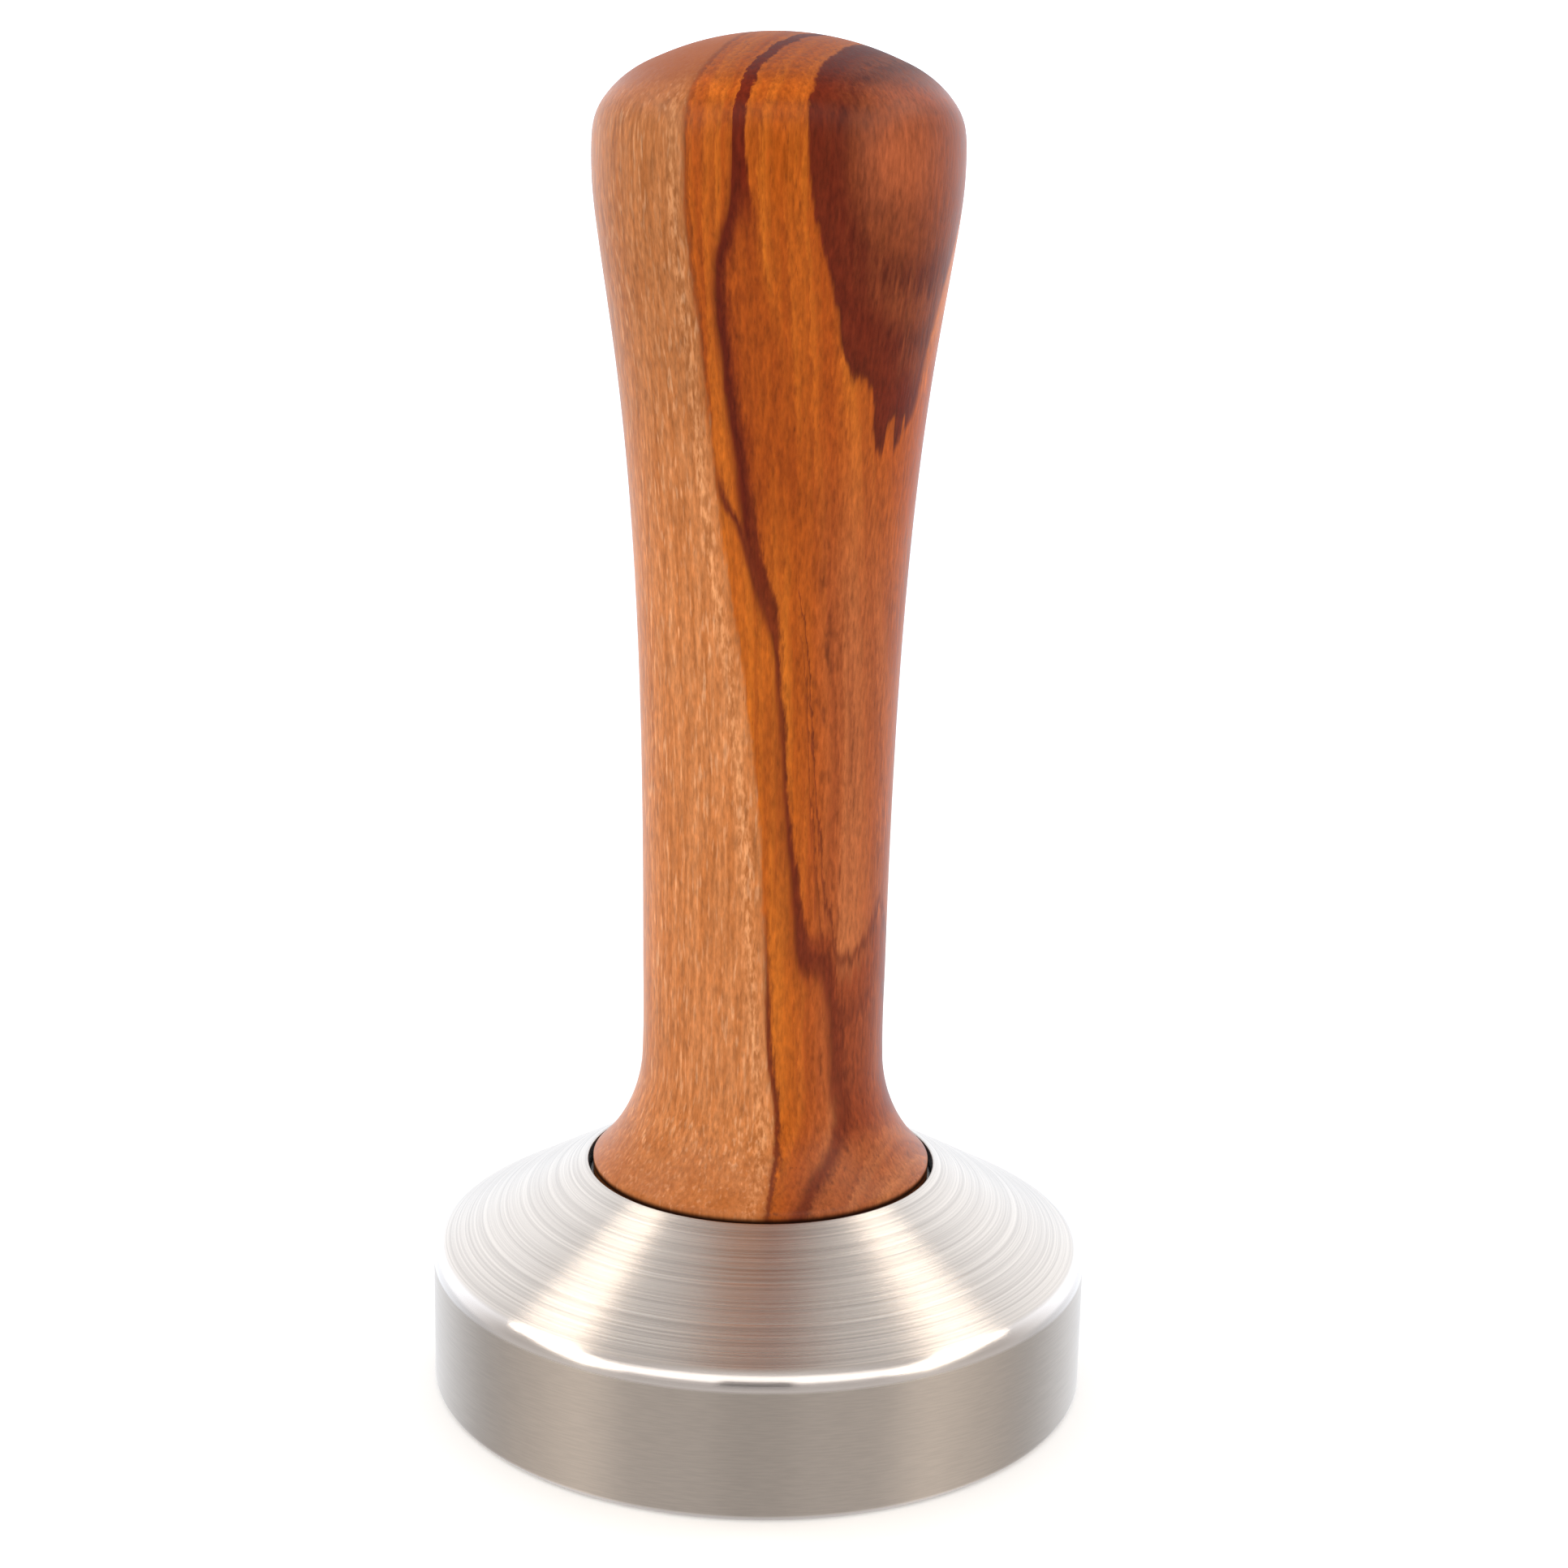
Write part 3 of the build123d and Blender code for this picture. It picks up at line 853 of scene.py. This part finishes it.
def make_world():
    """White room behind the tamper, slightly blue there and dim on the camera's side, with a table below
    the horizon."""
    world = bpy.data.worlds.new("studio")
    bpy.context.scene.world = world
    sky = Graph(world, "Background", "Generated", 1)
    above = sky.ramp(sky.y, -0.1, 0.75, 0.5, 1.75)
    below = sky.ramp(sky.y, 0.2, 0.9, 0.65, 1.4)
    tint = sky.blend(sky.ramp(sky.y, -0.1, 0.6), colour(1, 1, 1), colour(0.88, 0.96, 1.05))
    sky.set(Color=tint, Strength=sky.between(sky.ramp(sky.z, -0.1, 0.0), below, above))


def make_camera():
    """Slightly above the head of the handle, a little rolled, as a hand-held camera is."""
    lens = 55.9
    place = Vector((0, -205.1, 100.0)) * MM
    pitch, yaw, roll = (math.radians(angle) for angle in (12.71, 0.40, 1.135))
    data = bpy.data.cameras.new("camera")
    data.lens = lens
    data.sensor_width = 36
    data.clip_start = 0.005
    camera = bpy.data.objects.new("camera", data)
    bpy.context.scene.collection.objects.link(camera)
    look = Vector((math.sin(yaw) * math.cos(pitch), math.cos(yaw) * math.cos(pitch), -math.sin(pitch)))
    turn = look.to_track_quat("-Z", "Y").to_matrix() @ Matrix.Rotation(roll, 3, "Z")
    camera.matrix_world = Matrix.Translation(place) @ turn.to_4x4()
    bpy.context.scene.camera = camera


# ---------------------------------------------------------------- the scene

make_base(turned_steel())
make_stud(machined_steel())
make_handle(olive_wood())
make_insert(machined_brass())
make_ring(black_rubber())

make_floor()
make_shade()
make_world()
make_light("soft_box_left", (-0.64, -0.21, 0.44), (0.28, 0.74), 2.1, (1.0, 0.94, 0.85), roll=54)
make_light("soft_box_right", (0.64, -0.21, 0.44), (0.28, 0.74), 2.1, (1.0, 0.94, 0.85), roll=-54)
make_light("strip_left", (-0.53, 0.15, 0.60), (0.07, 0.42), 0.6, (1.0, 0.92, 0.82), roll=20)
make_light("strip_right", (0.53, 0.15, 0.60), (0.07, 0.42), 0.6, (1.0, 0.92, 0.82), roll=-20)
make_light("front_box", (0, -0.61, 0.56), (1.8, 0.42), 3.8, (1.0, 0.98, 0.96))
make_camera()
bpy.context.scene.view_settings.view_transform = "Standard"
